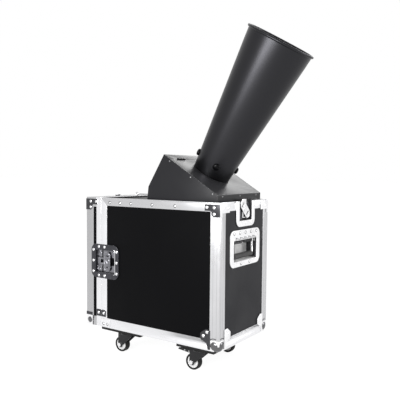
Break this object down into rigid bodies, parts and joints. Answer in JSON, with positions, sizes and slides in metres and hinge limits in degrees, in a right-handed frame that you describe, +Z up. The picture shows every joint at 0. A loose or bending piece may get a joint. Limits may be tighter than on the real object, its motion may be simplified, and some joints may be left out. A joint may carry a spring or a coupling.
{
  "type": "confetti blower",
  "caption": "Black confetti blower built into a wheeled flight case, with a sloping sheet metal hopper head on top and a slanted, flared barrel.",
  "frame": {"origin": "on the floor, at the centre of the bounding box of the whole object", "axes": "+Z up; +X along the case towards the side that the barrel leans to, away from the lift-off door; +Y from the latch side seen in the picture to the back"},
  "size_m": [0.697, 0.284, 0.9887],
  "materials": {
    "laminate": "satin",
    "edging": "anodised",
    "dark_steel": "satin",
    "rivet_steel": "polished",
    "latch_plate": "polished",
    "handle_plate": "polished",
    "black_sheet": "gloss",
    "black_plastic": "gloss",
    "zinc": "satin",
    "motor_paint": "satin",
    "socket_plastic": "matte",
    "switch_plastic": "gloss",
    "grip_rubber": "matte",
    "caster_steel": "satin",
    "tyre_rubber": "matte"
  },
  "bodies": {
    "case": {"front_panel": "laminate", "back_panel": "laminate", "right_panel": "laminate", "bottom_panel": "laminate", "top_deck": "black_sheet", "edge_angles": "edging", "top_rails": "edging", "body_frame": "edging", "case_corners": "dark_steel", "case_fasteners": "rivet_steel", "handle_dish": "handle_plate", "latch_dishes": "latch_plate", "caster_boards": "laminate", "caster_plates": "caster_steel", "head_shell": "black_sheet", "slope_plate": "black_sheet", "spigot": "black_plastic", "hopper": "zinc", "air_duct": "zinc", "blower_front": "zinc", "blower_back": "zinc", "blower_motor": "motor_paint", "control_panel": "black_sheet", "panel_sockets": "socket_plastic", "lid_hinges": "black_sheet"},
    "impeller": {"impeller": "zinc"},
    "lid": {"hopper_lid": "black_sheet"},
    "gate": {"feed_gate": "black_sheet"},
    "barrel": {"barrel": "black_sheet"},
    "switch": {"power_switch": "switch_plastic"},
    "handle": {"handle_bail": "handle_plate", "handle_grip": "grip_rubber"},
    "door": {"door_panel": "laminate", "door_edging": "edging", "door_frame": "edging", "door_corners": "dark_steel", "door_rivets": "rivet_steel", "door_latch_parts": "latch_plate"},
    "knob_1": {"knob_1": "black_plastic"},
    "knob_2": {"knob_2": "black_plastic"},
    "knob_3": {"knob_3": "black_plastic"},
    "knob_4": {"knob_4": "black_plastic"},
    "front_wing": {"front_wing": "latch_plate"},
    "front_hook": {"front_hook": "latch_plate"},
    "back_wing": {"back_wing": "latch_plate"},
    "back_hook": {"back_hook": "latch_plate"},
    "right_wing": {"right_wing": "latch_plate"},
    "right_hook": {"right_hook": "latch_plate"},
    "left_wing": {"left_wing": "latch_plate"},
    "left_hook": {"left_hook": "latch_plate"},
    "swivel_1": {"fork_1": "caster_steel"},
    "wheel_1": {"wheel_1": "tyre_rubber"},
    "swivel_2": {"fork_2": "caster_steel"},
    "wheel_2": {"wheel_2": "tyre_rubber"},
    "swivel_3": {"fork_3": "caster_steel"},
    "wheel_3": {"wheel_3": "tyre_rubber"},
    "swivel_4": {"fork_4": "caster_steel"},
    "wheel_4": {"wheel_4": "tyre_rubber"},
    "pedal_1": {"pedal_1": "caster_steel"},
    "pedal_2": {"pedal_2": "caster_steel"}
  },
  "joints": [
    {"name": "door_lift_off", "type": "slide", "parent": "case", "child": "door", "axis": [-1, 0, 0], "range_m": [0, 0.15]},
    {"name": "lid_hinge", "type": "hinge", "parent": "case", "child": "lid", "pos_m": [-0.02315, 0, 0.61114], "axis": [0, 1, 0], "range_deg": [0, 90]},
    {"name": "gate_slide", "type": "slide", "parent": "case", "child": "gate", "axis": [1, 0, 0], "range_m": [0, 0.018]},
    {"name": "barrel_lift_off", "type": "slide", "parent": "case", "child": "barrel", "axis": [0.5225, 0, 0.8526], "range_m": [0, 0.06]},
    {"name": "knob_1_screw", "type": "hinge", "parent": "barrel", "child": "knob_1", "pos_m": [0.09331, -0.05871, 0.58563], "axis": [0.4644, -0.8387, -0.2846], "range_deg": [0, 720]},
    {"name": "knob_2_screw", "type": "hinge", "parent": "barrel", "child": "knob_2", "pos_m": [0.11086, 0.03812, 0.57488], "axis": [0.7151, 0.5446, -0.4382], "range_deg": [0, 720]},
    {"name": "knob_3_screw", "type": "hinge", "parent": "barrel", "child": "knob_3", "pos_m": [0.02829, 0.05871, 0.62547], "axis": [-0.4644, 0.8387, 0.2846], "range_deg": [0, 720]},
    {"name": "knob_4_screw", "type": "hinge", "parent": "barrel", "child": "knob_4", "pos_m": [0.01075, -0.03812, 0.63622], "axis": [-0.7151, -0.5446, 0.4382], "range_deg": [0, 720]},
    {"name": "switch_rocker", "type": "hinge", "parent": "case", "child": "switch", "pos_m": [-0.2755, 0, 0.411], "axis": [0, 1, 0], "range_deg": [0, 12]},
    {"name": "impeller_spin", "type": "hinge", "parent": "case", "child": "impeller", "pos_m": [-0.11923, 0, 0.2065], "axis": [0, 1, 0], "continuous": true},
    {"name": "handle_swing", "type": "hinge", "parent": "case", "child": "handle", "pos_m": [0.149, 0, 0.374], "axis": [0, -1, 0], "range_deg": [0, 90], "stiffness_Nm_per_rad": 0.05},
    {"name": "front_wing_turn", "type": "hinge", "parent": "case", "child": "front_wing", "pos_m": [-0.2585, -0.139, 0.29], "axis": [0, -1, 0], "range_deg": [0, 180]},
    {"name": "front_hook_slide", "type": "slide", "parent": "case", "child": "front_hook", "axis": [1, 0, 0], "range_m": [0, 0.024]},
    {"name": "back_wing_turn", "type": "hinge", "parent": "case", "child": "back_wing", "pos_m": [-0.2585, 0.139, 0.29], "axis": [0, 1, 0], "range_deg": [0, 180]},
    {"name": "back_hook_slide", "type": "slide", "parent": "case", "child": "back_hook", "axis": [1, 0, 0], "range_m": [0, 0.024]},
    {"name": "right_wing_turn", "type": "hinge", "parent": "case", "child": "right_wing", "pos_m": [0.1585, 0, 0.468], "axis": [1, 0, 0], "range_deg": [-135, 45]},
    {"name": "right_hook_slide", "type": "slide", "parent": "case", "child": "right_hook", "axis": [0, 0, -1], "range_m": [-0.018, 0.006]},
    {"name": "left_wing_turn", "type": "hinge", "parent": "door", "child": "left_wing", "pos_m": [-0.3455, 0, 0.468], "axis": [-1, 0, 0], "range_deg": [-135, 45]},
    {"name": "left_hook_slide", "type": "slide", "parent": "door", "child": "left_hook", "axis": [0, 0, -1], "range_m": [-0.018, 0.006]},
    {"name": "swivel_1_turn", "type": "hinge", "parent": "case", "child": "swivel_1", "pos_m": [0.0685, -0.094, 0.061], "axis": [0, 0, 1], "continuous": true},
    {"name": "wheel_1_roll", "type": "hinge", "parent": "swivel_1", "child": "wheel_1", "pos_m": [0.0465, -0.094, 0.024], "axis": [0, 1, 0], "continuous": true},
    {"name": "swivel_2_turn", "type": "hinge", "parent": "case", "child": "swivel_2", "pos_m": [0.0685, 0.094, 0.061], "axis": [0, 0, 1], "continuous": true},
    {"name": "wheel_2_roll", "type": "hinge", "parent": "swivel_2", "child": "wheel_2", "pos_m": [0.0465, 0.094, 0.024], "axis": [0, 1, 0], "continuous": true},
    {"name": "swivel_3_turn", "type": "hinge", "parent": "case", "child": "swivel_3", "pos_m": [-0.2095, -0.094, 0.061], "axis": [0, 0, 1], "continuous": true},
    {"name": "wheel_3_roll", "type": "hinge", "parent": "swivel_3", "child": "wheel_3", "pos_m": [-0.2315, -0.094, 0.024], "axis": [0, 1, 0], "continuous": true},
    {"name": "swivel_4_turn", "type": "hinge", "parent": "case", "child": "swivel_4", "pos_m": [-0.2095, 0.094, 0.061], "axis": [0, 0, 1], "continuous": true},
    {"name": "wheel_4_roll", "type": "hinge", "parent": "swivel_4", "child": "wheel_4", "pos_m": [-0.2315, 0.094, 0.024], "axis": [0, 1, 0], "continuous": true},
    {"name": "pedal_1_press", "type": "hinge", "parent": "swivel_1", "child": "pedal_1", "pos_m": [0.0435, -0.094, 0.0556], "axis": [0, -1, 0], "range_deg": [0, 15]},
    {"name": "pedal_2_press", "type": "hinge", "parent": "swivel_2", "child": "pedal_2", "pos_m": [0.0435, 0.094, 0.0556], "axis": [0, -1, 0], "range_deg": [0, 15]}
  ],
  "couplings": [
    {"joint": "front_hook_slide", "follows": "front_wing_turn", "m_per_rad": 0.0076394},
    {"joint": "back_hook_slide", "follows": "back_wing_turn", "m_per_rad": 0.0076394},
    {"joint": "right_hook_slide", "follows": "right_wing_turn", "m_per_rad": 0.0076394},
    {"joint": "left_hook_slide", "follows": "left_wing_turn", "m_per_rad": 0.0076394}
  ]
}
